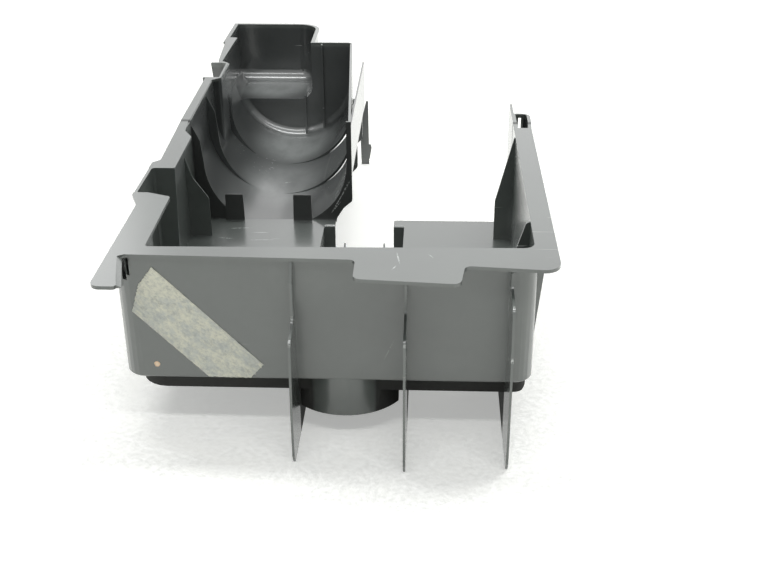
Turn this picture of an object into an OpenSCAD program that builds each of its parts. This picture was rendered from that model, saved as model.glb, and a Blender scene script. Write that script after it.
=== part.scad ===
// Trunk tool tray: one injection moulding with a front compartment, a round well and a long cradle arm.
// Layout axes: x from the left wall to the right, y from the front wall to the back, z up from the floor.

/* [Shell] */
// Thickness of the walls
wall_t = 2.4; // [2:0.1:3]
// Thickness of the floor
floor_t = 2.4; // [2:0.1:3]
// Thickness of the rim flange
rim_t = 2.6; // [2:0.1:3.4]
// Thickness of the ribs and fins
rib_t = 1.8; // [1.4:0.1:2.4]
// Height of the rim above the floor
rim_h = 100; // [85:1:125]
// Depth of the feet below the floor
foot_d = 53; // [42:1:60]

/* [Front compartment] */
// Width of the front wall
tub_w = 304; // [290:1:330]
// Floor length from the front wall to its back edge
tub_l = 288; // [270:1:310]
// Length of the right side wall
side_l = 342; // [320:1:370]
// Plan radius of the front left corner
corner_left_r = 16; // [10:1:22]
// Plan radius of the front right corner
corner_right_r = 14; // [8:1:20]
// Inset of the base skirt under the floor, at the front, left and back
skirt_inset = 8; // [6:1:12]
// Inset of the base skirt at the right
skirt_inset_right = 4; // [3:0.5:8]
// Depth of the base skirt below the floor
skirt_d = 15; // [10:0.5:18]
// Plan radius of the base skirt's front left corner
skirt_left_r = 22; // [16:1:28]
// Radius of the skirt's lower left corner as seen from the front
skirt_round_left = 4; // [2:1:6]
// Radius of the skirt's lower right corner as seen from the front
skirt_round_right = 8; // [4:1:10]

/* [Rim] */
// Width of the front rim behind the front wall
front_rim_in = 15; // [8:1:20]
// Overhang of the front rim before the wall at the left end
front_rim_out_left = 1.5; // [1:0.5:4]
// Overhang of the front rim before the wall at the right end
front_rim_out_right = 19; // [12:1:24]
// Width of the left rim inside the left wall
left_rim_in = 23; // [14:1:28]
// Width of the right rim outside the right wall
right_rim_out = 13.6; // [10:0.2:20]
// Length of the right rim
right_rim_l = 314; // [300:1:318]
// Length of the clip opening in the right rim
clip_l = 43; // [30:1:50]
// Place of the front tab along the front wall
tab_x = 175; // [150:1:200]
// Width of the front tab
tab_w = 73; // [50:1:80]
// Reach of the front tab before the wall
tab_l = 38; // [25:1:42]
// Reach of the corner ear before the wall
ear_l = 51; // [40:1:60]
// Width of the corner ear
ear_w = 18; // [14:1:24]

/* [Round well] */
// Place of the well's middle line
well_x = 164; // [160:1:168]
// Width between the well's side walls, outside
well_w = 81; // [70:1:84]
// Radius of the well's round front
well_r = 48; // [46:1:60]
// Depth of the well below the floor
well_d = 31; // [25:1:36]
// Length of the well from the front wall
well_l = 277; // [230:1:280]
// Width of the gap in the floor behind the well
gap_w = 56; // [40:1:60]
// Distance between the two guides at the well's open back
guide_gap = 38; // [30:1:46]
// Height of the guides above the well's bottom
guide_h = 17; // [12:1:24]
// Length of the guides
guide_l = 14; // [8:1:20]

/* [Front fins] */
// Reach of the left fin before the front wall
fin_left_l = 37; // [30:1:50]
// Reach of the middle fin before the front wall
fin_middle_l = 47; // [30:1:50]
// Reach of the right fin before the front wall
fin_right_l = 41; // [30:1:50]
// Reach of the upper web of each fin
fin_web_l = 10; // [6:1:14]
// Length of the fins' feet behind the front wall
fin_back = 96; // [70:1:120]
// Place of the left fin
fin_left_x = 129.4; // [127:0.1:134]
// Place of the middle fin
fin_middle_x = 210.4; // [200:0.1:216]
// Place of the right fin
fin_right_x = 284.8; // [270:0.1:288]

/* [Cradle arm] */
// Distance from the front wall to the arm's back wall
arm_l = 562; // [540:1:590]
// Outer face of the arm's right wall at its front end
arm_w = 152; // [146:1:156]
// Inward lean of the arm's right wall over its length
arm_taper = 17; // [10:1:20]
// Outward lean of the arm's left wall over its length
arm_splay = 5; // [0:1:8]
// Mean width of a cradle rib beside its round seat
seat_margin = 8; // [7:0.5:12]
// Shift of the seat's middle line to the right of the arm's
seat_shift = 3.3; // [1:0.1:5]
// Depth of the trough's bottom below the floor
trough_d = 9; // [4:1:12]
// Spacing of the cradle ribs
seat_pitch = 86; // [80:1:90]
// Length of the thin outer wall beside the arm
outer_wall_l = 214; // [180:1:240]
// Height of the thin outer wall's lower edge above the floor
outer_wall_z = 46; // [36:1:60]
// Radius of the fillet between the trough and the back wall
back_fillet_r = 11; // [6:1:13]

/* [Alcove] */
// Length of the alcove behind the back wall
alcove_l = 84; // [70:1:100]
// Width of the alcove
alcove_w = 101; // [90:1:104]
// Width of the alcove's rim outside its walls
alcove_rim_w = 2; // [1:0.5:3]
// Height of the alcove's shelf above the floor
shelf_z = 33.5; // [24:0.5:44]
// Plan radius of the alcove's outer corner
alcove_r = 25; // [20:1:28]
// Radius between the alcove's walls and its shelf, outside
alcove_fold_r = 17; // [10:1:18]

/* [Back legs] */
// Width of each back leg
leg_w = 9.4; // [8:0.2:12]
// Height of the right leg's top above the floor
leg_top = 26; // [20:1:32]
// Place of the left leg
left_leg_x = 10; // [4:1:20]
// Reach of the lug outside the right leg
lug_w = 3; // [2:0.5:5]

/* [Left wall] */
// Start of the outward pocket along the left wall
pocket_y = 111; // [90:1:130]
// Length of the pocket
pocket_l = 54; // [40:1:60]
// Depth of the pocket outside the left wall
pocket_d = 8.5; // [6:0.5:10]
// Start of the inward notch along the left wall
notch_y = 424; // [400:1:440]
// Length of the notch
notch_l = 52; // [40:1:60]
// Depth of the notch into the arm
notch_d = 8; // [6:0.5:10]
// Reach of the notch's end plates outside the left wall
notch_plate_w = 9; // [6:0.5:12]

/* [Stops] */
// Place of the first stop tab
stop_first_x = 29.5; // [20:0.5:40]
// Place of the second stop tab
stop_second_x = 95; // [80:0.5:105]
// Height of the two stop tabs on the floor
stop_h = 27; // [20:1:35]
// Width of the stop tabs
stop_w = 18; // [14:1:22]
// Reach of the left gusset into the compartment
left_gusset_w = 20; // [14:1:24]
// Reach of the right gusset into the compartment
right_gusset_w = 16; // [12:1:22]
// Height of the gussets' upright edges
gusset_h = 38; // [30:1:50]

/* [Tape] */
// Width of the tape
tape_w = 37.6; // [24:0.2:50]
// Length of the tape along its middle
tape_l = 111; // [90:1:125]
// Thickness of the tape
tape_t = 0.4; // [0.3:0.1:0.6]
// Turn of the tape down to the right
tape_turn = 46.3; // [30:0.1:50]
// Place of the tape's middle along the front wall
tape_x = 53; // [48:0.5:60]
// Height of the tape's middle above the floor
tape_z = 38; // [34:0.5:44]

/* [Hidden] */

ARC_STEPS = 6;
OVER = 1;
ROUND_FN = 96;
FOLD_LAP = 0.015;

rim_under = rim_h - rim_t;
rear_y = arm_l + alcove_l;
seat_r = arm_w / 2 - seat_margin;
seat_x = arm_w / 2 + seat_shift;
seat_z = seat_r - trough_d - 0.6;
rear_left_x = -arm_splay;
alcove_left_x = rear_left_x - 6;
alcove_right_x = alcove_left_x + alcove_w;
alcove_back_y = rear_y - alcove_rim_w;
left_flange = 6;
flange_step_y = 184;
right_rim_x = tub_w + right_rim_out;

// Bounds of the whole part, for the origin at the middle of its base
lowest_x = alcove_left_x - alcove_rim_w;
highest_x = right_rim_x + 1;
lowest_y = -ear_l;
highest_y = rear_y;
origin_x = (lowest_x + highest_x) / 2;
origin_y = (lowest_y + highest_y) / 2;

// A corner list [x, y, radius] as an outline with arcs at its corners
function unit(v) = v / norm(v);
function turn_sign(a, b) = sign(a[0] * b[1] - a[1] * b[0]);
function corner_arc(p, q, s, r) =
    let (u = unit(p - q), v = unit(s - q))
    let (half = acos(max(-1, min(1, u * v))) / 2, back = r / tan(half))
    let (start = q + u * back, centre = q + unit(u + v) * (r / sin(half)))
    let (first = atan2(start[1] - centre[1], start[0] - centre[0]))
    let (sweep = (180 - 2 * half) * turn_sign(q - p, s - q))
    [for (i = [0:ARC_STEPS])
        centre + r * [cos(first + sweep * i / ARC_STEPS), sin(first + sweep * i / ARC_STEPS)]];
function flat_xy(c) = [c[0], c[1]];
function outline(c) = [for (i = [0:len(c) - 1])
    let (p = flat_xy(c[(i + len(c) - 1) % len(c)]), q = flat_xy(c[i]), s = flat_xy(c[(i + 1) % len(c)]))
    each (c[i][2] > 0 ? corner_arc(p, q, s, c[i][2]) : [q])];

// Outer face of the arm's left wall at a distance from the front
function left_x(y) = y < tub_l ? 0 : -arm_splay * (y - tub_l) / (arm_l - tub_l);
// Outer face of the arm's right wall at a distance from the front
function right_x(y) = arm_w - arm_taper * (y - tub_l) / (arm_l - tub_l);

// The corner outside a round of radius r, both legs running on past the faces that the round joins
module fold_profile(r) {
    difference() {
        translate([-OVER, -OVER])
            square(r + OVER);
        translate([r, r])
            circle(r = r * (1 + FOLD_LAP), $fn = ROUND_FN);
    }
}

// A plan outline raised between two heights
module raised(corners, low, high) {
    translate([0, 0, low])
        linear_extrude(high - low)
            polygon(outline(corners));
}

// An upright plate across the tray: outline in x and z, front face at y
module cross_plate(corners, y, t) {
    translate([0, y + t, 0])
        rotate([90, 0, 0])
            linear_extrude(t)
                polygon(outline(corners));
}

// An upright plate along the tray: outline in y and z, middle plane at x
module long_plate(corners, x, t) {
    translate([x - t / 2, 0, 0])
        rotate([90, 0, 90])
            linear_extrude(t)
                polygon(outline(corners));
}

// Plan of the front compartment, inset from its outer faces, running past its open back by extra
function tub_plan(inset, back) = [
    [inset, inset, corner_left_r - inset],
    [tub_w - inset, inset, corner_right_r - inset],
    [tub_w - inset, back, 0],
    [inset, back, 0]];

// Front, left and right walls of the front compartment
module tub_walls() {
    difference() {
        raised(tub_plan(0, side_l), -floor_t, rim_h - OVER);
        raised(tub_plan(wall_t, side_l + OVER), -floor_t - OVER, rim_h);
        translate([-OVER, tub_l, -floor_t - OVER])
            cube([tub_w / 2, side_l, rim_h + foot_d]);
    }
    translate([tub_w - wall_t, corner_right_r * 2, rim_under])
        cube([wall_t, side_l - corner_right_r * 2, rim_t]);
}

module tub_floor() {
    raised(tub_plan(OVER, tub_l), -floor_t, 0);
}

// Rounds off the outer edge between the walls and the floor
module tub_fold_cut() {
    r = wall_t;
    right_l = side_l + OVER - corner_right_r;
    translate([corner_left_r, 0, -floor_t])
        rotate([90, 0, 90])
            linear_extrude(tub_w - corner_left_r - corner_right_r)
                fold_profile(r);
    translate([0, tub_l + OVER, -floor_t])
        rotate([90, 0, 0])
            linear_extrude(tub_l + OVER - corner_left_r)
                fold_profile(r);
    translate([tub_w, corner_right_r + right_l, -floor_t])
        rotate([90, 0, 0])
            linear_extrude(right_l)
                mirror([1, 0])
                    fold_profile(r);
    for (corner = [[corner_left_r, corner_left_r, 180], [tub_w - corner_right_r, corner_right_r, 270]])
        translate([corner[0], corner[1], -floor_t])
            rotate([0, 0, corner[2]])
                rotate_extrude(angle = 90, $fn = ROUND_FN)
                    translate([corner[1], 0])
                        mirror([1, 0])
                            fold_profile(r);
}

// Plan of the base skirt, inset from its outer faces
function skirt_plan(inset) = [
    [skirt_inset + inset, skirt_inset + inset, skirt_left_r - inset],
    [tub_w - skirt_inset_right - inset, skirt_inset + inset, corner_right_r - skirt_inset_right - inset],
    [tub_w - skirt_inset_right - inset, tub_l - skirt_inset - inset, 0],
    [skirt_inset + inset, tub_l - skirt_inset - inset, 0]];

// Skirt under the floor, set in from the walls, its lower corners rounded as seen from the front
module base_skirt() {
    intersection() {
        difference() {
            raised(skirt_plan(0), -skirt_d, -OVER);
            raised(skirt_plan(wall_t), -skirt_d - OVER, 0);
        }
        cross_plate([
            [skirt_inset - OVER, 0, 0],
            [skirt_inset - OVER, -skirt_d - OVER, skirt_round_left],
            [tub_w - skirt_inset_right + OVER, -skirt_d - OVER, skirt_round_right],
            [tub_w - skirt_inset_right + OVER, 0, 0]], 0, tub_l);
    }
}

// Plan of the well, inset from its outer faces
module well_plan(inset, back) {
    intersection() {
        union() {
            translate([well_x, well_r])
                circle(r = well_r - inset, $fn = ROUND_FN);
            translate([well_x - well_r, well_r])
                square([2 * well_r, back - well_r]);
        }
        translate([well_x - well_w / 2 + inset, -OVER])
            square([well_w - 2 * inset, back + OVER]);
    }
}

module well_shell() {
    translate([0, 0, -well_d - floor_t])
        linear_extrude(well_d + floor_t)
            well_plan(0, well_l);
}

// Inside of the well, with the gap through its back wall and the floor's back edge
module well_room() {
    translate([0, 0, -well_d])
        linear_extrude(well_d + OVER)
            well_plan(wall_t, well_l - wall_t);
    gap_r = 5;
    raised([
        [well_x - gap_w / 2, well_l / 2, 0],
        [well_x + gap_w / 2, well_l / 2, 0],
        [well_x + gap_w / 2, tub_l - OVER, 0],
        [well_x + gap_w / 2 + gap_r, tub_l + OVER, 0],
        [well_x - gap_w / 2 - gap_r, tub_l + OVER, 0],
        [well_x - gap_w / 2, tub_l - OVER, 0]], -well_d, OVER);
}

// Rounds off the floor's edge over the well's back wall, on both sides of the gap
module well_lips() {
    side = well_w / 2 - wall_t;
    translate([well_x - side, well_l - wall_t, 0])
        rotate([90, 0, 90])
            linear_extrude(2 * side)
                mirror([0, 1])
                    fold_profile(floor_t);
}

// Two low guides at the open back of the well
module well_guides() {
    for (side = [-1, 1])
        long_plate([
            [well_l - guide_l, -well_d - OVER, 0],
            [well_l, -well_d - OVER, 0],
            [well_l, -well_d + guide_h, 3],
            [well_l - guide_l, -well_d + 3, 0]], well_x + side * guide_gap / 2, rib_t);
}

// One fin with an upper web under the rim and a foot below the floor
module fin(x, reach, rim_y, taper_h, shoulder_z) {
    back_z = -floor_t;
    long_plate([
        [rim_y, rim_under + OVER / 2, 0],
        [rim_y, rim_under - OVER, 0],
        [-fin_web_l, rim_under - taper_h, 2],
        [-fin_web_l, shoulder_z, 4],
        [-reach + 6, shoulder_z - 5, 4],
        [-reach, shoulder_z - 60, 20],
        [-reach, -foot_d + 8, 2],
        [-reach + 4, -foot_d, 2],
        [fin_back, -foot_d, 6],
        [fin_back + 14, back_z + OVER, 0],
        [wall_t / 2, back_z + OVER, 0],
        [wall_t / 2, rim_under + OVER / 2, 0]], x, rib_t);
}

module fins() {
    fin(fin_left_x, fin_left_l, -3, 14, 52);
    fin(fin_middle_x, fin_middle_l, -tab_l + 6, 14, 60);
    fin(fin_right_x, fin_right_l, -14, 4, 82);
}

// Front rim with its forward tab
module front_rim() {
    tab_end = tab_x + tab_w;
    raised([
        [corner_left_r / 2, front_rim_in - 3, 0],
        [corner_left_r / 2, -front_rim_out_left, 0],
        [tab_x, -5.5, 5],
        [tab_x, -tab_l + 3, 6],
        [tab_end, -tab_l - 3, 6],
        [tab_end + 3.5, -13, 5],
        [right_rim_x, -front_rim_out_right, 12],
        [right_rim_x, corner_right_r + 12, 0],
        [tub_w - wall_t, corner_right_r + 12, 0],
        [tub_w - wall_t, front_rim_in + 2, 8],
        [left_rim_in, front_rim_in - 3, 0]], rim_under, rim_h);
}

// Left rim of the compartment, with the ear before the front corner
module left_rim() {
    raised([
        [left_rim_in + 2, front_rim_in - 3.4, 0],
        [left_rim_in, front_rim_in - 1, 2],
        [left_rim_in - 1, pocket_y - 7, 3],
        [wall_t, pocket_y + OVER, 0],
        [-pocket_d + wall_t, pocket_y + OVER, 0],
        [-pocket_d - 0.5, pocket_y + OVER, 0],
        [-pocket_d - 0.5, pocket_y - 4, 3],
        [-1, pocket_y - 24, 8],
        [-0.5, -ear_l, 7],
        [ear_w, -ear_l, 2],
        [7, -4, 2],
        [12, -front_rim_out_left, 0],
        [left_rim_in + 2, -front_rim_out_left, 0]], rim_under, rim_h);
    raised([
        [13, pocket_y + pocket_l, 2],
        [12, tub_l - 46, 4],
        [3.4, tub_l - 30, 4],
        [0.4, tub_l + 2, 0],
        [-left_flange - 0.5, tub_l + 2, 0],
        [-3, flange_step_y, 6],
        [-pocket_d - 0.5, flange_step_y - 6, 4],
        [-pocket_d - 0.5, pocket_y + pocket_l, 0]], rim_under, rim_h);
}

// Web under the ear, and the slope along the ear's inner edge
module ear_web() {
    web_x = 3.4;
    edge_w = 3.6;
    edge_l = 45;
    edge_turn = 13.5;
    long_plate([
        [-ear_l + 16, rim_under + OVER / 2, 0],
        [-ear_l + 18, rim_under - 3, 3],
        [corner_left_r / 2, rim_under - 24, 0],
        [corner_left_r / 2, rim_under + OVER / 2, 0]], web_x, rib_t);
    translate([7, -5, 0])
        rotate([0, 0, edge_turn])
            rotate([90, 0, 0])
                linear_extrude(edge_l)
                    polygon([
                        [-OVER, rim_under],
                        [edge_w, rim_under],
                        [edge_w, rim_under + 0.4],
                        [0, rim_h],
                        [-OVER, rim_h]]);
}

// Block behind the front left corner that holds the two slots
module slot_block() {
    translate([4, wall_t, rim_h - 27])
        cube([12, 10, 27 - OVER]);
}

// Two upright slots in the front wall beside the ear
module ear_slots() {
    slot_depth = 9;
    for (slot = [[7.4, 3.1, 19], [11.4, 1.8, 15]])
        translate([slot[0], -OVER, rim_under - slot[2]])
            cube([slot[1], slot_depth + OVER, slot[2] + OVER / 2]);
}

// Right rim outside the right wall, ending in the clip opening
module right_rim() {
    clip_h = 22;
    clip_y = right_rim_l - clip_l;
    out_x = right_rim_x + 1;
    difference() {
        raised([
            [tub_w - wall_t, corner_right_r + 10, 0],
            [right_rim_x, corner_right_r + 10, 0],
            [right_rim_x, clip_y, 12],
            [out_x, clip_y + clip_l / 2, 12],
            [out_x, right_rim_l, 8],
            [tub_w - wall_t, right_rim_l, 0]], rim_under, rim_h);
        clip_room();
    }
    // Walls that hang round the clip opening, with a slit through the end wall
    slit_w = 2.6;
    slit_x = tub_w + (right_rim_out - slit_w) / 2;
    difference() {
        raised([
            [tub_w - OVER, clip_y - OVER / 2, 0],
            [right_rim_x - 0.6, clip_y - OVER / 2, 0],
            [out_x - 0.6, clip_y + clip_l / 2, 12],
            [out_x - 0.6, right_rim_l - 0.4, 8],
            [tub_w - OVER, right_rim_l - 0.4, 0]], rim_h - clip_h, rim_h - OVER);
        clip_room();
        translate([slit_x - slit_w / 2, right_rim_l - wall_t - 2 * OVER, rim_h - clip_h - OVER])
            cube([slit_w, wall_t + 3 * OVER, clip_h - rim_t]);
    }
}

// The clip opening, straight down through the right rim
module clip_room() {
    side = 2.4;
    clip_y = right_rim_l - clip_l;
    raised([
        [tub_w + 1.2, clip_y + 2, 1],
        [right_rim_x - side - 0.6, clip_y + 2, 1],
        [right_rim_x + 1 - side - 0.6, clip_y + clip_l / 2, 12],
        [right_rim_x + 1 - side - 0.6, right_rim_l - wall_t, 4],
        [tub_w + 1.2, right_rim_l - wall_t, 1]], 0, rim_h + OVER);
}

// Gussets under the right rim, outside the right wall
module right_rim_gussets() {
    gusset_drop = 84;
    for (y = [corner_right_r + 4, right_rim_l / 2])
        cross_plate([
            [tub_w - wall_t / 2, rim_under + OVER / 2, 0],
            [right_rim_x - 7, rim_under + OVER / 2, 0],
            [right_rim_x - 7, rim_under - 2, 0],
            [tub_w - wall_t / 2, rim_under - gusset_drop, 0]], y, rib_t);
}

// Outward pocket in the left wall, open to the compartment
module pocket_shell() {
    raised([
        [wall_t, pocket_y - wall_t, 0],
        [wall_t, pocket_y + pocket_l + wall_t, 0],
        [-pocket_d, pocket_y + pocket_l + wall_t, 5],
        [-pocket_d, pocket_y - wall_t, 5]], -floor_t, rim_h);
}

module pocket_room() {
    raised([
        [wall_t + OVER, pocket_y, 0],
        [wall_t + OVER, pocket_y + pocket_l, 0],
        [-pocket_d + wall_t, pocket_y + pocket_l, 3],
        [-pocket_d + wall_t, pocket_y, 3]], 0, rim_h + OVER);
}

// Upright webs and gussets that stand in the front compartment
module compartment_webs() {
    pocket_web_w = 13;
    web_y = pocket_y + pocket_l;
    cross_plate([
        [wall_t / 2, -OVER, 0],
        [pocket_web_w - 3, -OVER, 0],
        [pocket_web_w, rim_h - OVER, 0],
        [wall_t / 2, rim_h - OVER, 0]], web_y, rib_t);
    gusset_y = tub_l - 40;
    left_top = 82;
    cross_plate([
        [wall_t / 2, -OVER, 0],
        [wall_t + left_gusset_w, -OVER, 0],
        [wall_t + left_gusset_w - 0.5, gusset_h, 6],
        [wall_t + 6, left_top - 24, 20],
        [wall_t / 2, left_top, 0]], gusset_y, rib_t);
    cross_plate([
        [tub_w - wall_t / 2, -OVER, 0],
        [tub_w - wall_t - right_gusset_w, -OVER, 0],
        [tub_w - wall_t - right_gusset_w, gusset_h, 4],
        [tub_w - wall_t - OVER, rim_h - OVER, 0],
        [tub_w - wall_t / 2, rim_h - OVER, 0]], gusset_y, rib_t);
    // Short gusset under the right rim near the front corner
    corner_gusset_y = 66;
    cross_plate([
        [tub_w - wall_t / 2, rim_h - OVER, 0],
        [tub_w - wall_t - 3, rim_under, 3],
        [tub_w - wall_t - 9, rim_under - 20, 4],
        [tub_w - wall_t - 12, -OVER, 0],
        [tub_w - wall_t / 2, -OVER, 0]], corner_gusset_y, rib_t);
}

// Two low stops across the floor's back edge
module stops() {
    for (x = [stop_first_x, stop_second_x])
        cross_plate([
            [x, -OVER, 0],
            [x + stop_w, -OVER, 0],
            [x + stop_w - 0.6, stop_h, 1],
            [x + 0.6, stop_h, 1]], tub_l - 4, wall_t);
}

// Plan of the arm between its left and right walls
function arm_plan(inset, front, back) = [
    [left_x(front) + inset, front, 0],
    [right_x(front) - inset, front, 0],
    [right_x(back) - inset, back, 0],
    [left_x(back) + inset, back, 0]];

// Outer radius of the trough between two side walls, which its round bottom meets at an angle
trough_side_over = 2;
function trough_r(x_low, x_high) = (x_high - x_low) / 2 + trough_side_over;

// Cross section of the arm's trough, inset from its outer faces
module trough_section(inset, x_low, x_high) {
    outer_r = trough_r(x_low, x_high);
    r = outer_r - inset;
    middle = (x_high + x_low) / 2;
    centre_z = outer_r - wall_t - trough_d;
    translate([middle, centre_z])
        circle(r = r, $fn = ROUND_FN);
    translate([middle - r, centre_z])
        square([2 * r, rim_h - centre_z + inset]);
}

// One length of trough, extruded along the arm
module trough_length(inset, front, back, x_low, x_high) {
    translate([0, back, 0])
        rotate([90, 0, 0])
            linear_extrude(back - front)
                trough_section(inset, x_low, x_high);
}

// The arm's outer form: a stepped trough cut to the leaning side walls
module arm_outer() {
    for (i = [0:2]) {
        front = tub_l + i * seat_pitch;
        back = i == 2 ? arm_l : front + seat_pitch;
        intersection() {
            trough_length(0, front, back, left_x(front), right_x(front));
            raised(arm_plan(0, front, back), -foot_d, rim_h - OVER);
        }
    }
}

// Step from the floor's back edge down to the bottom of the trough
module trough_riser() {
    intersection() {
        trough_length(0, tub_l - wall_t, tub_l + OVER, left_x(tub_l), right_x(tub_l));
        raised(arm_plan(0, tub_l - wall_t, tub_l + OVER), -foot_d, -OVER);
    }
}

module arm_room() {
    for (i = [0:2]) {
        front = tub_l + i * seat_pitch;
        back = i == 2 ? arm_l - wall_t : front + seat_pitch;
        intersection() {
            trough_length(wall_t, front, back, left_x(front), right_x(front));
            raised(arm_plan(wall_t, front, back), -foot_d, rim_h + OVER);
        }
    }
}

// Outline of the front cradle rib, which closes the step between the floor and the trough
function front_rib_corners(drop) =
    let (low = -floor_t + OVER / 2, left = wall_t / 2, right = arm_w, step_x = arm_w / 2 - 37)
    [[left, rim_h - OVER, 0],
     [left, low, 0],
     [step_x - 8, low, 0],
     [step_x, -drop, 0],
     [right - step_x - 4, -drop, 0],
     [right - step_x + 4, low, 0],
     [right - 15.7, low, 0],
     [right - 15, 2, 3],
     [right - 8.5, 12.4, 8],
     [right, 19.8, 4],
     [right, 94, 0],
     [right - wall_t, 94, 0],
     [right - wall_t, rim_h - OVER, 0]];

// Outline of the cradle ribs behind the front one
function rib_corners(i, drop) =
    let (y = tub_l + i * seat_pitch, slope = drop + 9, corner = 14, lap_z = outer_wall_z + 8)
    [[left_x(y) + wall_t / 2, rim_h - OVER, 0],
     [left_x(y) + wall_t / 2, slope, 0],
     [left_x(y) + slope + 20, -drop, 0],
     [arm_w - 2 * corner - 4, -drop, 0],
     [arm_w - corner, 7, 0],
     [arm_w - i * 0.2, 7 + corner, 6],
     [arm_w - i * 0.2, lap_z, 0],
     [right_x(y) - wall_t, lap_z, 0],
     [right_x(y) - wall_t, rim_h - OVER, 0]];

// One cradle rib: a plate across the arm with the round seat cut out
module seat_rib(i) {
    y = tub_l + i * seat_pitch;
    drop = trough_d + wall_t / 2;
    difference() {
        cross_plate(i == 0 ? front_rib_corners(drop) : rib_corners(i, drop), y, wall_t);
        translate([0, y + wall_t + OVER, 0])
            rotate([90, 0, 0])
                linear_extrude(wall_t + 2 * OVER)
                    seat_opening(i);
    }
}

// The round seat with its open top
module seat_opening(i) {
    x = seat_x - i;
    z = seat_z - 2 * i;
    flare_z = 79;
    translate([x, z])
        circle(r = seat_r, $fn = ROUND_FN);
    polygon([
        [x - seat_r, z],
        [x - seat_r - 2, flare_z],
        [x - seat_r - 12, rim_h + OVER],
        [x + seat_r, rim_h + OVER],
        [x + seat_r, z]]);
}

// The thin wall that stands outside the arm's right wall
module outer_wall() {
    wall_top = 95;
    long_plate([
        [tub_l, outer_wall_z, 0],
        [tub_l + outer_wall_l, outer_wall_z, 3],
        [tub_l + outer_wall_l, wall_top, 2],
        [tub_l, wall_top, 0]], arm_w - rib_t / 2, rib_t);
    for (i = [1, 2]) {
        y = tub_l + i * seat_pitch;
        translate([right_x(y) - OVER, y, outer_wall_z])
            cube([arm_w - right_x(y) + OVER / 2, wall_t, 8]);
    }
}

// Back wall of the arm, which the alcove's room later cuts down to the shelf
module back_wall() {
    top_r = 5;
    last_front = tub_l + 2 * seat_pitch;
    side = right_x(arm_l - wall_t) + OVER / 2;
    intersection() {
        trough_length(0, arm_l - wall_t, arm_l, left_x(last_front), right_x(last_front));
        raised(arm_plan(0, arm_l - wall_t, arm_l), -foot_d, rim_h + OVER);
        cross_plate([
            [-arm_w, -foot_d, 0],
            [side, -foot_d, 0],
            [side, rim_h, top_r],
            [-arm_w, rim_h, 0]], arm_l - wall_t - OVER, wall_t + 2 * OVER);
    }
}

// Fillet between the round of the trough and its back wall
module back_fillet() {
    last_front = tub_l + 2 * seat_pitch;
    x_low = left_x(last_front);
    x_high = right_x(last_front);
    outer_r = trough_r(x_low, x_high);
    front = arm_l - wall_t - back_fillet_r - OVER;
    intersection() {
        translate([(x_low + x_high) / 2, arm_l - wall_t, outer_r - wall_t - trough_d])
            rotate([90, 0, 0])
                rotate_extrude($fn = ROUND_FN)
                    translate([outer_r - wall_t, 0])
                        mirror([1, 0])
                            fold_profile(back_fillet_r);
        raised(arm_plan(wall_t / 2, front, arm_l - wall_t / 2), -foot_d, outer_r - wall_t - trough_d);
    }
}

// Two legs at the back, each an upright plate across the tray with a web to the back wall
module back_legs() {
    right_edge = right_x(arm_l);
    leg_y = arm_l + 13;
    for (leg = [[arm_w - leg_w, leg_top, leg_w - 3], [left_leg_x, shelf_z - OVER, 0]]) {
        cross_plate([
            [leg[0], -foot_d, 1],
            [leg[0] + leg_w, -foot_d, 1],
            [leg[0] + leg_w - 0.6, leg[1], 0],
            [leg[0] + leg[2], leg[1], 0],
            [leg[0], 0, 0]], leg_y, rib_t);
        long_plate([
            [arm_l - OVER, -trough_d, 0],
            [leg_y + rib_t / 2, -foot_d, 0],
            [leg_y + rib_t / 2, 0, 0],
            [arm_l - OVER, leg_top - 10, 0]], leg[0] + rib_t / 2, rib_t);
    }
    // Plate that carries the right leg's web on the back wall
    cross_plate([
        [right_edge - 6, -trough_d + 10, 0],
        [arm_w - leg_w + rib_t, -trough_d + 10, 0],
        [arm_w - leg_w + rib_t, shelf_z, 0],
        [right_edge - 6, shelf_z, 0]], arm_l - wall_t, wall_t);
    // Lug on the right leg's outer edge
    lug_top = -28;
    cross_plate([
        [arm_w - OVER, lug_top - 18, 0],
        [arm_w + 0.6, lug_top - 18, 0],
        [arm_w + lug_w, lug_top - 4, 2],
        [arm_w + lug_w - 1, lug_top, 0],
        [arm_w - OVER, lug_top, 0]], leg_y, rib_t);
}

// Two slim ribs on the face of the back wall
module back_ribs() {
    rib_reach = 6;
    beside = 10.5;
    for (rib = [[alcove_right_x + beside, rim_h - 1], [alcove_right_x - beside, shelf_z + 5.5]])
        translate([rib[0] - rib_t / 2, arm_l - wall_t - rib_reach, -trough_d - 1])
            cube([rib_t, rib_reach + OVER, rib[1] + trough_d + 1]);
}

// Plan of the alcove behind the back wall
function alcove_plan(inset, front) = [
    [alcove_left_x + inset, front, 0],
    [alcove_right_x - inset, front, 0],
    [alcove_right_x - inset, alcove_back_y - inset, alcove_r - inset],
    [alcove_left_x + inset, alcove_back_y - inset, 0]];

// The alcove's form, inset from its outer faces, with a round fold between its walls and its shelf
module alcove_form(inset, front, low, high) {
    r = alcove_fold_r - inset;
    left = alcove_left_x + inset;
    right = alcove_right_x - inset;
    back = alcove_back_y - inset;
    corner = alcove_r - inset;
    difference() {
        raised(alcove_plan(inset, front), low, high);
        translate([left, rear_y + OVER, low])
            rotate([90, 0, 0])
                linear_extrude(rear_y - front + 2 * OVER)
                    fold_profile(r);
        translate([left - OVER, back, low])
            rotate([90, 0, 90])
                linear_extrude(right - corner - left + OVER)
                    mirror([1, 0])
                        fold_profile(r);
        translate([right - corner, back - corner, low])
            rotate_extrude(angle = 90, $fn = ROUND_FN)
                translate([corner, 0])
                    mirror([1, 0])
                        fold_profile(r);
        translate([right, back - corner, low])
            rotate([90, 0, 0])
                linear_extrude(back - corner - front + OVER)
                    mirror([1, 0])
                        fold_profile(r);
    }
}

module alcove_shell() {
    alcove_form(0, arm_l - wall_t, shelf_z - floor_t, rim_h);
}

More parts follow.
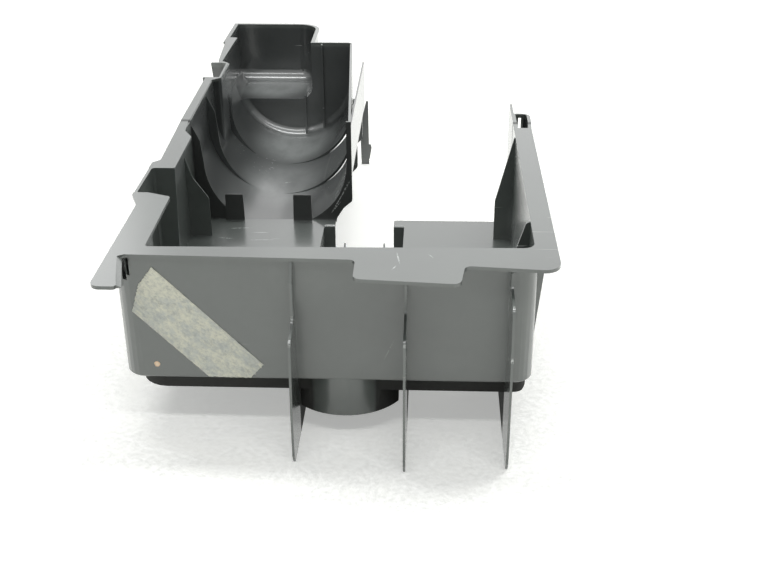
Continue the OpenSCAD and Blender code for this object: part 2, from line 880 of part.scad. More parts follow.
module alcove_room() {
    alcove_form(wall_t, arm_l - wall_t - OVER, shelf_z, rim_h + OVER);
}

// Rim outside the alcove's walls
module alcove_rim() {
    difference() {
        raised(alcove_plan(-alcove_rim_w, arm_l - wall_t / 2), rim_under, rim_h);
        raised(alcove_plan(wall_t / 2, arm_l - wall_t), rim_under - OVER, rim_h + OVER);
    }
}

// Clears what stands above the shelf in the left end of the back fillet
module lip_room() {
    front = arm_l - wall_t - back_fillet_r - 2 * OVER;
    translate([alcove_left_x + wall_t, front, shelf_z])
        cube([alcove_w - 2 * wall_t, back_fillet_r + 2 * OVER, rim_h]);
}

// Rim flange along the arm's left wall, round the notch
module arm_rim() {
    inner = 1.6;
    wrap = 2.2;
    out = left_flange;
    notch_back = notch_y + notch_l;
    raised([
        [inner, tub_l - 2, 0],
        [left_x(notch_y) + wall_t - 0.4, notch_y - wrap - 8, 3],
        [left_x(notch_y) + notch_d + wrap, notch_y - wrap, 3],
        [left_x(notch_back) + notch_d + wrap, notch_back, 4],
        [left_x(notch_back) + wall_t, notch_back + wrap + 5, 3],
        [left_x(arm_l) + wall_t + 2.2, arm_l, 0],
        [left_x(arm_l) + wall_t + 2.8, arm_l + 18, 2],
        [left_x(arm_l) - out - 1.4, arm_l + 20, 2],
        [left_x(notch_back) - 2, notch_back + 8, 3],
        [left_x(notch_back) + wall_t, notch_back + 0.4, 0],
        [left_x(notch_back) + notch_d, notch_back - 1, 2],
        [left_x(notch_y) + notch_d, notch_y, 1],
        [left_x(notch_y) - out, notch_y, 0],
        [-out - 0.5, tub_l - 2, 0]], rim_under, rim_h);
}

// Plates that carry the notch's end walls on outside the left wall
module notch_plates() {
    drop = 52;
    for (y = [notch_y - wall_t, notch_y + notch_l])
        cross_plate([
            [left_x(y) + OVER, rim_h, 0],
            [left_x(y) - notch_plate_w, rim_h, 1],
            [left_x(y) - notch_plate_w + 2, rim_h - 20, 8],
            [left_x(y) + OVER, rim_h - drop, 0]], y, wall_t);
}

// The notch's walls, an upright channel pressed into the arm's left wall
module notch_shell() {
    x = left_x(notch_y);
    raised([
        [x + OVER, notch_y - wall_t, 0],
        [x + notch_d + wall_t, notch_y - wall_t, 3],
        [x + notch_d + wall_t, notch_y + notch_l + wall_t, 3],
        [x + OVER, notch_y + notch_l + wall_t, 0]], 6, rim_h - OVER);
}

module notch_room() {
    x = left_x(notch_y);
    raised([
        [x - 12, notch_y, 0],
        [x + notch_d, notch_y, 1],
        [x + notch_d, notch_y + notch_l, 1],
        [x - 12, notch_y + notch_l, 0]], 6 - OVER, rim_h + OVER);
}

// Back wall with its fillet, both cut by the alcove's room
module back_fillet_and_wall() {
    difference() {
        union() {
            back_wall();
            difference() {
                back_fillet();
                lip_room();
            }
        }
        alcove_room();
    }
}

module tray_solid() {
    difference() {
        union() {
            difference() {
                union() {
                    tub_walls();
                    tub_floor();
                }
                tub_fold_cut();
            }
            slot_block();
            base_skirt();
            pocket_shell();
            well_shell();
            fins();
        }
        well_room();
        well_lips();
        pocket_room();
        ear_slots();
    }
    well_guides();
    compartment_webs();
    stops();
    trough_riser();
    front_rim();
    left_rim();
    ear_web();
    right_rim();
    right_rim_gussets();
    difference() {
        union() {
            difference() {
                union() {
                    arm_outer();
                    alcove_shell();
                }
                arm_room();
                alcove_room();
            }
            back_fillet_and_wall();
            back_legs();
            back_ribs();
            for (i = [0:2])
                seat_rib(i);
            notch_shell();
        }
        notch_room();
    }
    notch_plates();
    alcove_rim();
    outer_wall();
    arm_rim();
}

module tray() {
    color("#3c3f40")
        translate([-origin_x, -origin_y, foot_d])
            tray_solid();
}

// Outline of the tape with its torn ends, along x and z before the turn
function tape_outline() =
    let (h = tape_w / 2, l = tape_l / 2)
    [[-l + 2, h], [-l + 5, 0.6], [-l + 16, -h], [l - 20, -h], [l + 2, 3.5], [l + 1, h]];

module masking_tape() {
    color("#cbbf9d")
        translate([-origin_x + tape_x, -origin_y, foot_d + tape_z])
            rotate([0, tape_turn, 0])
                rotate([90, 0, 0])
                    linear_extrude(tape_t)
                        polygon(tape_outline());
}

tray();
masking_tape();
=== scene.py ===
import math
from functools import cached_property

import bmesh
import bpy
from mathutils import Matrix, Vector, noise


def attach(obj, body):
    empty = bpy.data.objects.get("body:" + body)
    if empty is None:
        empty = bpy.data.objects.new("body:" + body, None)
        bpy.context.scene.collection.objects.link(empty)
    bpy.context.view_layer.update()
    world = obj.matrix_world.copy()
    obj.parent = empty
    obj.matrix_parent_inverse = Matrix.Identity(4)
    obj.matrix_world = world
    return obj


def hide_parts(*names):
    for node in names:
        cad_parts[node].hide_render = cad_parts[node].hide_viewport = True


# Looks of the trunk tool tray: a black moulded tray with a strip of masking tape on its front wall.

MM = 0.001

# Places in the tray's own layout, in millimetres, as in the part's source
ORIGIN_X = 152.8
ORIGIN_Y = 297.5
FOOT_D = 53.0
TAPE_W = 37.6
TAPE_L = 111.0
TAPE_TURN = 46.3
TAPE_X = 53.0
TAPE_Z = 38.0
DOT_X = 26.0
DOT_Z = 9.3
DOT_R = 2.5

# Pale marks on the plastic, scratches and rubs, and painted highlights on the fins' edges:
# centre and half sizes in millimetres, turn about the upright axis, lean to the right, strength
MARKS_AND_HIGHLIGHTS = (
    # Rim and front tab
    ((205.0, -2.0, 100.0), (0.8, 11.0, 2.0), 8, 0, 0.6),
    ((202.6, -17.0, 100.0), (0.7, 5.0, 2.0), -24, 0, 0.5),
    ((227.8, 2.0, 100.0), (0.6, 4.5, 2.0), 30, 0, 0.3),
    ((190.5, -43.6, 99.0), (4.0, 1.1, 2.0), 24, 0, 0.8),
    ((237.0, -45.0, 99.0), (5.0, 0.9, 2.0), -5, 0, 0.7),
    # Floor of the compartment
    ((46.0, 266.0, 0.0), (13.0, 1.0, 1.5), 6, 0, 0.6),
    ((70.0, 240.0, 0.0), (17.0, 0.8, 1.5), 3, 0, 0.4),
    ((36.0, 243.0, 0.0), (9.0, 0.9, 1.5), -8, 0, 0.5),
    # Trough
    ((74.0, 404.0, -11.0), (9.0, 1.6, 4.0), 20, 0, 0.6),
    ((92.0, 418.0, -10.0), (7.0, 2.0, 4.0), -30, 0, 0.5),
    ((105.0, 524.0, -8.0), (10.0, 12.0, 5.0), 10, 0, 0.35),
    # Painted highlights on the edges of the fins
    ((129.4, -30.5, 45.5), (2.0, 2.5, 3.0), 0, 0, 0.9),
    ((129.4, -10.0, 55.0), (2.0, 2.0, 2.5), 0, 0, 0.6),
    ((284.8, -39.1, 40.0), (2.0, 2.0, 3.0), 0, 0, 0.9),
    ((284.8, -31.0, 76.0), (2.0, 2.5, 3.5), 0, 0, 0.9),
    ((210.4, -41.0, 52.0), (2.0, 2.0, 2.5), 0, 0, 0.5),
    # Upright plates at the arm's mouth, and the front wall
    ((140.0, 288.0, 22.0), (0.7, 4.0, 21.0), 0, 30, 0.8),
    ((144.0, 288.0, 30.0), (0.5, 4.0, 13.0), 0, 25, 0.6),
    ((136.0, 288.0, 13.0), (0.6, 4.0, 10.0), 0, 38, 0.7),
    ((147.5, 288.0, 36.0), (0.5, 4.0, 8.0), 0, 30, 0.5),
    ((198.0, 0.0, 24.0), (0.8, 3.0, 11.0), 0, 24, 0.1),
)
# Cloudy haze on the plastic, and painted reflection on the alcove's shelf and the right wall's inner face:
# centre and half sizes in millimetres, strength
HAZE_AND_SHEEN_PATCHES = (
    # Painted reflection on the alcove's shelf
    ((40.0, 602.0, 33.5), (58.0, 50.0, 12.0), 1.0),
    ((78.0, 515.0, -6.0), (72.0, 72.0, 34.0), 1.0),
    ((74.0, 400.0, -6.0), (68.0, 80.0, 26.0), 0.6),
    # Painted reflection on the right wall's inner face
    ((303.0, 205.0, 20.0), (9.0, 70.0, 30.0), 1.0),
    ((90.0, 250.0, 0.0), (120.0, 60.0, 6.0), 0.2),
)

# Camera of the photograph, fitted to the tray's straight edges
CAMERA_X = 227.03
CAMERA_Y = -712.48
CAMERA_Z = 443.77
CAMERA_PITCH = 27.32
CAMERA_YAW = 2.59
CAMERA_ROLL = -0.38
CAMERA_LENS = 53.05
SENSOR_W = 36.0

# Middle line, side walls, round front and depth of the round well
WELL_X = 164.0
WELL_HALF_W = 39.7
WELL_R = 47.0
WELL_FRONT_Y = 48.0
WELL_BOTTOM = -32.6
# Distances over which the well's mask fades in at its side walls and above its bottom
WELL_FADE = 0.5
WELL_RISE = 0.6
# A half size that reaches past the whole tray
FAR = 10000.0

# Zones of the plastic: axis, place where the zone begins, place where it is full, in millimetres
# Skirt under the front wall: painted shade, and lost gloss
SKIRT = (("Z", -2.6, -3.4), ("Y", 5.0, 7.0), ("Y", 300.0, 290.0))
# Back part below the rim: painted shade
ARM_SHADE = (("Y", 284.0, 292.0), ("Z", 97.0, 94.0))
# Upright plates at the arm's mouth: painted shade, and lost gloss
PLATES = (("Y", 283.0, 283.6), ("Y", 289.4, 288.8), ("Z", 0.5, 1.2))
WELL_WALLS = (
    ("X", WELL_X - WELL_HALF_W, WELL_X - WELL_HALF_W + WELL_FADE),
    ("X", WELL_X + WELL_HALF_W, WELL_X + WELL_HALF_W - WELL_FADE),
    ("Y", 44.0, 46.0),
)
# Matt right side of the trough: centre and half sizes
MATT_SIDE = ((130.0, 405.0, 14.0), (18.0, 105.0, 30.0))
# How much of the gloss the trough's matt side and the plates lose
MATT_SIDE_LOSS = 0.85
PLATES_LOSS = 0.7

# Colours of the plastic
BODY_DARK = (0.050, 0.058, 0.053)
BODY_PALE = (0.077, 0.088, 0.081)
# Painted shade on the back part, darker and paler with the same uneven tone
ARM_SHADE_DARK = (0.014, 0.016, 0.016)
ARM_SHADE_PALE = (0.034, 0.037, 0.037)
# Painted shade on the upright plates
PLATES_SHADE = (0.008, 0.008, 0.008)
# Painted shade on the skirt under the front wall
SKIRT_SHADE = (0.016, 0.015, 0.014)
# Grey of the haze, also used as painted reflection
HAZE_AND_SHEEN_GREY = (0.23, 0.245, 0.24)
# Pale of the scratches, also used as painted highlights on the fins' edges
SCRATCH_AND_HIGHLIGHT_PALE = (0.72, 0.75, 0.73)
GLOSS_TINT = (0.94, 1.0, 0.965, 1)
# Roughness under the gloss, what a scratch adds to it, and the roughness where the gloss is lost
SATIN_LOW = 0.42
SATIN_HIGH = 0.54
SCRATCH_ROUGH = 0.3
MATT_ROUGH = 0.85

# Colours of the tape and of the paint
PAPER_CREAM = (0.88, 0.88, 0.74)
PAPER_GREY = (0.66, 0.69, 0.64)
PAPER_MOTTLE = (0.42, 0.45, 0.42)
PAPER_GRIME = (0.30, 0.32, 0.29)
PAINT_ORANGE = (0.93, 0.5, 0.2)
PAINT_DEEP = (0.78, 0.36, 0.1)
PAINT_PALE = (1.0, 0.78, 0.56)
# Raised upper end of the tape: centre and half sizes
RAISED_END = ((38.0, 0.0, 76.0), (30.0, 30.0, 16.0))

# Moulding's mesh: weld distance in metres, angle that counts as flat, rounding of its edges
WELD_GAP = 2e-6
FLAT_ANGLE = 0.4
EDGE_ROUND = 0.55
EDGE_ANGLE = 32

# Tape's mesh: steps across and along it, thickness, height over the wall
TAPE_ROWS = 46
TAPE_COLUMNS = 150
TAPE_T = 0.25
TAPE_LIFT = 0.32
# Heights of the tape's wrinkles and of its one long crease, and the most that both together add
WRINKLE_H = 1.1
CREASE_H = 0.21
WRINKLE_MOST = 0.9
# Torn ends of the tape: place across it, place along it
TORN_LEFT = ((TAPE_W / 2, 2 - TAPE_L / 2), (0.6, 5 - TAPE_L / 2), (-TAPE_W / 2, 16 - TAPE_L / 2))
TORN_RIGHT = ((TAPE_W / 2, TAPE_L / 2 + 1), (3.5, TAPE_L / 2 + 2), (-TAPE_W / 2, TAPE_L / 2 - 20))
# Small teeth of the torn ends, coarse and fine: height, rate across the tape, row of the noise
TEETH_LEFT = ((0.9, 0.9, 3.1), (0.5, 3.3, 8.1))
TEETH_RIGHT = ((0.9, 0.8, 13.1), (0.5, 3.1, 28.1))

# Paint dot: rings and sides of its mesh, height over the wall, depth of its rim in the wall
DOT_RINGS = 4
DOT_SIDES = 28
DOT_H = 0.22
DOT_SUNK = 0.1

# Lift of the white floor where the camera or gloss sees it
FLOOR_LIFT = 0.38
# Distances from the tray over which the floor turns plain white, in metres
FLOOR_NEAR = 0.9
FLOOR_FAR = 2.2
# Half size of the floor, in metres, and its colours
FLOOR_HALF = 9.0
FLOOR_SHADE = (0.65, 0.66, 0.63)
FLOOR_LIGHT = (0.98, 0.985, 0.96)
FLOOR_BLOTCH = (0.86, 0.865, 0.82)
FLOOR_BLACK = (0.0, 0.0, 0.0)
FLOOR_GLOW = (0.99, 1.0, 0.985, 1)
# Level of the white surround on matt surfaces
SURROUND = 0.22
# Lights: name, place, the point that it faces, width, depth, brightness as seen from the tray
LIGHTS = (
    ("rear_strip", (0.2, 0.44, 2.5), (0.2, 0, 0), 3.0, 0.4, 13.5),
    ("front_strip", (0.2, -1.55, 2.5), (0.2, 0, 0), 3.0, 0.18, 15.0),
    ("back_left", (-2.0, 2.6, 1.3), (0, 0, 0.1), 2.0, 2.0, 1.5),
    ("back_middle", (0.4, 2.8, 1.3), (0, 0, 0.1), 2.0, 2.0, 0.4),
    ("back_right", (2.4, 2.6, 1.3), (0, 0, 0.1), 2.0, 2.0, 3.0),
)


def place(x, y, z):
    """A point of the layout, in millimetres, as a point of the row frame, in metres."""
    return Vector(((x - ORIGIN_X) * MM, (y - ORIGIN_Y) * MM, (z + FOOT_D) * MM))


def new_object(name, bm):
    """An object at the origin from a finished mesh, with smooth shading."""
    mesh = bpy.data.meshes.new(name)
    bm.to_mesh(mesh)
    bm.free()
    for face in mesh.polygons:
        face.use_smooth = True
    obj = bpy.data.objects.new(name, mesh)
    bpy.context.scene.collection.objects.link(obj)
    return obj


# Node trees

class Tree:
    """Short calls to add and join shader nodes of a material or a world."""

    def __init__(self, owner, out="ShaderNodeOutputMaterial"):
        owner.use_nodes = True
        self.owner = owner
        self.nodes = owner.node_tree.nodes
        self.links = owner.node_tree.links
        self.nodes.clear()
        self.out = self.nodes.new(out)

    @cached_property
    def coords(self):
        return self.nodes.new("ShaderNodeTexCoord").outputs["Object"]

    def link(self, a, b):
        self.links.new(a, b)

    def mapping(self, scale=(1, 1, 1), turn=(0, 0, 0), shift=(0, 0, 0), source=None):
        n = self.nodes.new("ShaderNodeMapping")
        n.inputs["Scale"].default_value = scale
        n.inputs["Rotation"].default_value = [math.radians(a) for a in turn]
        n.inputs["Location"].default_value = shift
        self.link(source or self.coords, n.inputs["Vector"])
        return n.outputs["Vector"]

    def noise(self, vector, scale, detail=3, rough=0.5):
        n = self.nodes.new("ShaderNodeTexNoise")
        n.inputs["Scale"].default_value = scale
        n.inputs["Detail"].default_value = detail
        n.inputs["Roughness"].default_value = rough
        self.link(vector, n.inputs["Vector"])
        return n.outputs["Fac"]

    def span(self, value, low, high, to_low=0.0, to_high=1.0):
        n = self.nodes.new("ShaderNodeMapRange")
        n.interpolation_type = "SMOOTHSTEP"
        n.inputs["From Min"].default_value = low
        n.inputs["From Max"].default_value = high
        n.inputs["To Min"].default_value = to_low
        n.inputs["To Max"].default_value = to_high
        self.link(value, n.inputs["Value"])
        return n.outputs["Result"]

    def math(self, kind, a, b):
        n = self.nodes.new("ShaderNodeMath")
        n.operation = kind
        for socket, value in zip(n.inputs, (a, b), strict=False):
            if isinstance(value, (int, float)):
                socket.default_value = value
            else:
                self.link(value, socket)
        return n.outputs[0]

    def times(self, a, b):
        return self.math("MULTIPLY", a, b)

    def most(self, a, b):
        return self.math("MAXIMUM", a, b)

    def length(self, vector):
        n = self.nodes.new("ShaderNodeVectorMath")
        n.operation = "LENGTH"
        self.link(vector, n.inputs[0])
        return n.outputs["Value"]

    def blend(self, fac, a, b):
        n = self.nodes.new("ShaderNodeMix")
        n.data_type = "RGBA"
        for socket, value in ((n.inputs["Factor"], fac), (n.inputs["A"], a), (n.inputs["B"], b)):
            if isinstance(value, (int, float)):
                socket.default_value = value
            elif isinstance(value, tuple):
                socket.default_value = (*value, 1)
            else:
                self.link(value, socket)
        return n.outputs["Result"]

    def near(self, centre, half, turn=0, lean=0, full=0.25):
        """One near a point and nothing beyond the half sizes; full is the share of them that is one."""
        n = self.nodes.new("ShaderNodeMapping")
        n.vector_type = "TEXTURE"
        n.inputs["Location"].default_value = place(*centre)
        n.inputs["Rotation"].default_value = (0, math.radians(lean), math.radians(turn))
        n.inputs["Scale"].default_value = [h * MM for h in half]
        self.link(self.coords, n.inputs["Vector"])
        return self.span(self.length(n.outputs["Vector"]), 1.0, full)

    def beyond(self, axis, start, full):
        """Rises from nothing at one place along an axis of the layout to one at another, in millimetres."""
        n = self.nodes.new("ShaderNodeSeparateXYZ")
        self.link(self.coords, n.inputs["Vector"])
        ends = [getattr(place(v, v, v), axis.lower()) for v in (start, full)]
        return self.span(n.outputs[axis], *ends)

    def zone(self, fades):
        """One inside a zone of the layout, falling to nothing at each of its borders."""
        inside = self.beyond(*fades[0])
        for fade in fades[1:]:
            inside = self.times(inside, self.beyond(*fade))
        return inside

    def bump(self, height, strength, distance, normal=None):
        n = self.nodes.new("ShaderNodeBump")
        n.inputs["Strength"].default_value = strength
        n.inputs["Distance"].default_value = distance
        self.link(height, n.inputs["Height"])
        if normal is not None:
            self.link(normal, n.inputs["Normal"])
        return n.outputs["Normal"]

    def seen(self):
        """One for what the camera sees directly, in gloss or through glass."""
        rays = self.nodes.new("ShaderNodeLightPath").outputs
        seen = self.most(rays["Is Camera Ray"], rays["Is Glossy Ray"])
        return self.most(seen, rays["Is Transmission Ray"])

    def shader(self):
        n = self.nodes.new("ShaderNodeBsdfPrincipled")
        self.link(n.outputs["BSDF"], self.out.inputs["Surface"])
        return n


def hairlines(tree, turn, spacing, keep):
    """Sparse fine scratches that run one way, as a mask."""
    along = tree.mapping(scale=(1.0, spacing, spacing), turn=turn)
    lines = tree.span(tree.noise(along, scale=14, detail=1), 0.735, 0.75)
    spread = tree.noise(tree.mapping(shift=(spacing, 0, 0)), scale=9, detail=2)
    return tree.times(lines, tree.span(spread, keep, keep + 0.06))


def scratches_and_highlights(tree):
    """Hairlines that run two ways and the tray's pale marks, scratched ones and painted highlights on the
    fins' edges, broken up by a fine grain, as a mask.
    """
    one_way = hairlines(tree, (0, 0, 24), spacing=42, keep=0.58)
    other_way = hairlines(tree, (0, 0, -58), spacing=50, keep=0.60)
    mask = tree.times(tree.most(one_way, other_way), 0.5)
    broken = tree.span(tree.noise(tree.mapping(), scale=520, detail=3, rough=0.7), 0.4, 0.56)
    for centre, half, turn, lean, strength in MARKS_AND_HIGHLIGHTS:
        mark = tree.times(tree.near(centre, half, turn, lean), strength)
        mask = tree.most(mask, tree.times(mark, broken))
    return mask


def haze_and_sheen(tree):
    """Smeared haze round the places where the plastic has it, and painted reflection on the alcove's shelf
    and the right wall's inner face, as a mask.
    """
    smear = tree.noise(tree.mapping(scale=(1.0, 0.5, 1.0)), scale=26, detail=5, rough=0.65)
    mask = 0.0
    for centre, half, strength in HAZE_AND_SHEEN_PATCHES:
        mask = tree.most(mask, tree.times(tree.near(centre, half), strength))
    return tree.times(mask, tree.span(smear, 0.3, 0.72, 0.5, 1.0))


def in_well(tree):
    """One on the inside of the round well, which is as glossy as the rest of the inside."""
    front = tree.near((WELL_X, WELL_FRONT_Y, WELL_BOTTOM), (WELL_R, WELL_R, FAR), full=0.98)
    inside = tree.most(front, tree.zone(WELL_WALLS))
    return tree.times(inside, tree.beyond("Z", WELL_BOTTOM, WELL_BOTTOM + WELL_RISE))


def tray_plastic():
    """Black polypropylene: a broad haze under a thin gloss, clouded marks, rubs and fine pale scratched
    hairlines, with painted shade on the back part, the plates and the skirt, painted reflection on the
    alcove's shelf and the right wall, and painted highlights on the fins' edges.
    """
    tree = Tree(bpy.data.materials.new("tray_plastic"))
    cloud = tree.noise(tree.mapping(), scale=7, detail=5, rough=0.6)
    fine = tree.noise(tree.mapping(), scale=320, detail=2)
    uneven = tree.span(cloud, 0.35, 0.7)
    plates = tree.zone(PLATES)
    under = tree.times(tree.zone(SKIRT), tree.math("SUBTRACT", 1.0, in_well(tree)))
    scratch_and_highlight = scratches_and_highlights(tree)

    # Colour, from the body of the plastic to what lies over it, with painted shade, painted reflection and
    # painted highlights among it
    colour = tree.blend(uneven, BODY_DARK, BODY_PALE)
    # Painted shade: the back part darker
    colour = tree.blend(tree.zone(ARM_SHADE), colour, tree.blend(uneven, ARM_SHADE_DARK, ARM_SHADE_PALE))
    # Painted shade: the upright plates near black
    colour = tree.blend(plates, colour, PLATES_SHADE)
    # Haze, and painted reflection on the shelf and the right wall
    colour = tree.blend(haze_and_sheen(tree), colour, HAZE_AND_SHEEN_GREY)
    # Scratches, and painted highlights on the fins' edges
    colour = tree.blend(scratch_and_highlight, colour, SCRATCH_AND_HIGHLIGHT_PALE)
    # Painted shade: the skirt under the front wall near black
    colour = tree.blend(under, colour, SKIRT_SHADE)

    # Loss of gloss on the trough's right side, the plates and the skirt
    dull = tree.times(tree.near(*MATT_SIDE, full=0.7), MATT_SIDE_LOSS)
    dull = tree.most(dull, tree.times(plates, PLATES_LOSS))
    dull = tree.most(dull, under)
    rough = tree.span(cloud, 0.3, 0.75, SATIN_LOW, SATIN_HIGH)
    rough = tree.math("ADD", rough, tree.times(scratch_and_highlight, SCRATCH_ROUGH))

    p = tree.shader()
    p.inputs["Specular IOR Level"].default_value = 0.7
    p.inputs["Specular Tint"].default_value = GLOSS_TINT
    p.inputs["Coat IOR"].default_value = 1.75
    p.inputs["Coat Roughness"].default_value = 0.19
    tree.link(tree.math("SUBTRACT", 1.0, dull), p.inputs["Coat Weight"])
    tree.link(colour, p.inputs["Base Color"])
    tree.link(tree.most(rough, tree.times(dull, MATT_ROUGH)), p.inputs["Roughness"])
    tree.link(tree.bump(fine, strength=0.05, distance=0.0004), p.inputs["Normal"])
    return tree.owner


def tape_paper():
    """Creped paper: grey where it sticks flat, cream where it is raised, mottled and grimy."""
    tree = Tree(bpy.data.materials.new("tape_paper"))
    along = tree.mapping(turn=(0, -TAPE_TURN, 0))

    def pattern(shift, stretch, scale, detail, rough):
        """Noise that runs along the tape."""
        vector = tree.mapping(shift=shift, scale=(1.0, 1.0, stretch), source=along)
        return tree.noise(vector, scale, detail, rough)

    crepe = pattern((0, 0, 0), stretch=0.22, scale=900, detail=2, rough=0.5)
    stuck = pattern((0.3, 0, 0.1), stretch=1.5, scale=85, detail=6, rough=0.72)
    mottle = pattern((0.9, 0, 0.4), stretch=1.6, scale=330, detail=5, rough=0.75)
    grime = pattern((0, 0, 0.7), stretch=1.4, scale=150, detail=5, rough=0.75)
    flat = tree.math("SUBTRACT", tree.span(stuck, 0.38, 0.66), tree.near(*RAISED_END))
    colour = tree.blend(flat, PAPER_CREAM, PAPER_GREY)
    colour = tree.blend(tree.span(mottle, 0.42, 0.66, 0.0, 0.4), colour, PAPER_MOTTLE)
    colour = tree.blend(tree.span(grime, 0.50, 0.72, 0.0, 0.4), colour, PAPER_GRIME)
    p = tree.shader()
    p.inputs["Roughness"].default_value = 0.7
    p.inputs["Specular IOR Level"].default_value = 0.4
    tree.link(colour, p.inputs["Base Color"])
    creped = tree.bump(crepe, strength=0.5, distance=0.00025)
    tree.link(tree.bump(mottle, strength=0.25, distance=0.0004, normal=creped), p.inputs["Normal"])
    return tree.owner


def dot_paint():
    """Pale orange paint, deeper towards its rim."""
    tree = Tree(bpy.data.materials.new("dot_paint"))
    patch = tree.noise(tree.mapping(), scale=700, detail=2)
    middle = tree.near((DOT_X, 0, DOT_Z), [DOT_R * 1.5] * 3)
    rim = tree.blend(tree.span(patch, 0.35, 0.65), PAINT_ORANGE, PAINT_DEEP)
    p = tree.shader()
    p.inputs["Roughness"].default_value = 0.35
    tree.link(tree.blend(middle, rim, PAINT_PALE), p.inputs["Base Color"])
    return tree.owner


def floor_white():
    """A white cover that keeps the soft shadow, faintly pebbled in the shade, plain white far away."""
    tree = Tree(bpy.data.materials.new("floor_white"))
    pebble = tree.noise(tree.mapping(), scale=250, detail=4, rough=0.75)
    blotch = tree.noise(tree.mapping(), scale=40, detail=3)
    away = tree.span(tree.length(tree.coords), FLOOR_NEAR, FLOOR_FAR)
    colour = tree.blend(tree.span(pebble, 0.34, 0.66), FLOOR_SHADE, FLOOR_LIGHT)
    colour = tree.blend(tree.span(blotch, 0.4, 0.65, 0.0, 0.4), colour, FLOOR_BLOTCH)
    colour = tree.blend(away, colour, FLOOR_BLACK)
    lift = tree.span(away, 0.0, 1.0, FLOOR_LIFT, 1.0)
    diffuse = tree.nodes.new("ShaderNodeBsdfDiffuse")
    tree.link(colour, diffuse.inputs["Color"])
    glow = tree.nodes.new("ShaderNodeEmission")
    glow.inputs["Color"].default_value = FLOOR_GLOW
    tree.link(tree.times(tree.seen(), lift), glow.inputs["Strength"])
    both = tree.nodes.new("ShaderNodeAddShader")
    tree.link(diffuse.outputs["BSDF"], both.inputs[0])
    tree.link(glow.outputs["Emission"], both.inputs[1])
    tree.link(both.outputs["Shader"], tree.out.inputs["Surface"])
    return tree.owner


# Pieces

def moulding(node):
    """The tray as one welded mesh with softly rounded edges."""
    bm = bmesh.new()
    bm.from_mesh(node.data)
    bmesh.ops.remove_doubles(bm, verts=bm.verts, dist=WELD_GAP)
    bmesh.ops.dissolve_limit(bm, angle_limit=math.radians(FLAT_ANGLE), verts=bm.verts, edges=bm.edges)
    obj = new_object("moulding", bm)
    round_edges = obj.modifiers.new("round_edges", "BEVEL")
    round_edges.width = EDGE_ROUND * MM
    round_edges.segments = 2
    round_edges.limit_method = "ANGLE"
    round_edges.angle_limit = math.radians(EDGE_ANGLE)
    round_edges.use_clamp_overlap = True
    round_edges.miter_outer = "MITER_ARC"
    even = obj.modifiers.new("even_shading", "WEIGHTED_NORMAL")
    even.keep_sharp = True
    return obj


def torn_end(v, points, teeth):
    """Place of a torn end along the tape, with its small teeth, at a place across it."""
    ragged = sum(height * noise.noise((v * rate, row, 0)) for height, rate, row in teeth)
    for (v0, u0), (v1, u1) in zip(points, points[1:], strict=False):
        if v0 >= v >= v1:
            return u0 + (u1 - u0) * (v0 - v) / (v0 - v1) + ragged
    return points[-1][1] + ragged


def tape_lift(u, v):
    """Height of the tape's face over the wall, with its wrinkles and crease."""
    wrinkle = abs(noise.noise((u * 0.11, v * 0.16, 2.0))) ** 1.5 * WRINKLE_H
    crease = max(0, 1 - abs(v * 0.8 - u * 0.25 - 6) / 1.2) * CREASE_H
    return TAPE_LIFT + min(WRINKLE_MOST, wrinkle + crease)


def tape_strip():
    """Thin wrinkled strip on the front wall, torn at both ends."""
    turn = math.radians(TAPE_TURN)
    bm = bmesh.new()
    rows = []
    for i in range(TAPE_ROWS + 1):
        v = TAPE_W / 2 - TAPE_W * i / TAPE_ROWS
        left = torn_end(v, TORN_LEFT, TEETH_LEFT)
        right = torn_end(v, TORN_RIGHT, TEETH_RIGHT)
        row = []
        for j in range(TAPE_COLUMNS + 1):
            u = left + (right - left) * j / TAPE_COLUMNS
            edge = v + 0.12 * noise.noise((u * 0.5, v, 5.0))
            x = TAPE_X + u * math.cos(turn) + edge * math.sin(turn)
            z = TAPE_Z - u * math.sin(turn) + edge * math.cos(turn)
            row.append(bm.verts.new(place(x, -tape_lift(u, v), z)))
        rows.append(row)
    for a, b in zip(rows, rows[1:], strict=False):
        for j in range(TAPE_COLUMNS):
            bm.faces.new((a[j], b[j], b[j + 1], a[j + 1]))
    bmesh.ops.recalc_face_normals(bm, faces=bm.faces)
    bm.faces.ensure_lookup_table()
    if bm.faces[0].normal.y > 0:
        bmesh.ops.reverse_faces(bm, faces=bm.faces)
    obj = new_object("tape_strip", bm)
    skin = obj.modifiers.new("paper_thickness", "SOLIDIFY")
    skin.thickness = TAPE_T * MM
    skin.offset = -1
    return obj


def paint_dot():
    """A small round drop of paint on the front wall."""
    bm = bmesh.new()
    top = bm.verts.new(place(DOT_X, -DOT_H, DOT_Z))
    last = None
    for ring in range(1, DOT_RINGS + 1):
        share = ring / DOT_RINGS
        lift = DOT_H * (1 - share ** 3) - (DOT_SUNK if ring == DOT_RINGS else 0)
        circle = []
        for s in range(DOT_SIDES):
            a = 2 * math.pi * s / DOT_SIDES
            r = DOT_R * share * (1 + 0.03 * math.sin(3 * a + 1) + 0.02 * math.sin(5 * a))
            circle.append(bm.verts.new(place(DOT_X + r * math.cos(a), -lift, DOT_Z + r * math.sin(a))))
        for s in range(DOT_SIDES):
            t = (s + 1) % DOT_SIDES
            if last is None:
                bm.faces.new((top, circle[s], circle[t]))
            else:
                bm.faces.new((last[s], circle[s], circle[t], last[t]))
        last = circle
    bmesh.ops.recalc_face_normals(bm, faces=bm.faces)
    return new_object("paint_dot", bm)


# Stage

def stage_floor():
    """A wide white floor under the tray, which is not part of it."""
    bm = bmesh.new()
    corners = [(x * FLOOR_HALF, y * FLOOR_HALF, 0) for x, y in ((-1, -1), (1, -1), (1, 1), (-1, 1))]
    bm.faces.new([bm.verts.new(c) for c in corners])
    obj = new_object("floor", bm)
    obj.data.materials.append(floor_white())


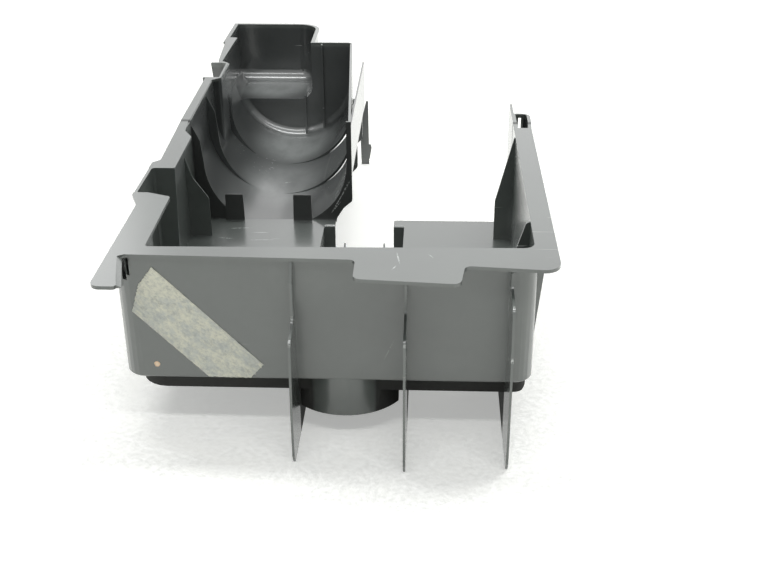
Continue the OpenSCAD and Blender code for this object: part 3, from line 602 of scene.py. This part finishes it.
def area_light(name, at, look_at, size_x, size_y, level):
    """A soft rectangular light; level is its brightness as seen from the object."""
    data = bpy.data.lights.new(name, "AREA")
    data.shape = "RECTANGLE"
    data.size, data.size_y = size_x, size_y
    data.energy = level * math.pi * size_x * size_y
    obj = bpy.data.objects.new(name, data)
    bpy.context.scene.collection.objects.link(obj)
    obj.location = at
    obj.rotation_euler = (Vector(look_at) - Vector(at)).to_track_quat("-Z", "Y").to_euler()


def studio():
    """A white surround, two ceiling strips and soft light from behind."""
    world = bpy.data.worlds.new("studio")
    bpy.context.scene.world = world
    tree = Tree(world, out="ShaderNodeOutputWorld")
    back = tree.nodes.new("ShaderNodeBackground")
    back.inputs["Color"].default_value = (1, 1, 1, 1)
    tree.link(tree.most(tree.seen(), SURROUND), back.inputs["Strength"])
    tree.link(back.outputs["Background"], tree.out.inputs["Surface"])
    for light in LIGHTS:
        area_light(*light)


def camera():
    """The camera of the photograph."""
    data = bpy.data.cameras.new("camera")
    data.lens = CAMERA_LENS
    data.sensor_width = SENSOR_W
    obj = bpy.data.objects.new("camera", data)
    bpy.context.scene.collection.objects.link(obj)
    turn = (
        Matrix.Rotation(math.radians(CAMERA_YAW), 4, "Z")
        @ Matrix.Rotation(math.radians(90 - CAMERA_PITCH), 4, "X")
        @ Matrix.Rotation(math.radians(CAMERA_ROLL), 4, "Z")
    )
    obj.matrix_world = Matrix.Translation(place(CAMERA_X, CAMERA_Y, CAMERA_Z)) @ turn
    bpy.context.scene.camera = obj


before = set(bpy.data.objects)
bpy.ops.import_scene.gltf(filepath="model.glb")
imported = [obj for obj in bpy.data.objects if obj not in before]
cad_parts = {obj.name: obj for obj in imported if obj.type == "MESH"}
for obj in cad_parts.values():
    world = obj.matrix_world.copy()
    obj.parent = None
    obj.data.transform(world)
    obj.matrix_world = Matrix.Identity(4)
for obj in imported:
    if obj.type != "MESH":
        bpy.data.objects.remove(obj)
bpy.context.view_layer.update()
bpy.context.scene.view_settings.view_transform = "Standard"

camera()
studio()
stage_floor()

tray = moulding(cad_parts["tray"])
tray.data.materials.clear()
tray.data.materials.append(tray_plastic())
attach(tray, "root")
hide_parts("tray")

tape = tape_strip()
tape.data.materials.append(tape_paper())
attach(tape, "root")
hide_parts("masking_tape")

dot = paint_dot()
dot.data.materials.append(dot_paint())
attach(dot, "root")
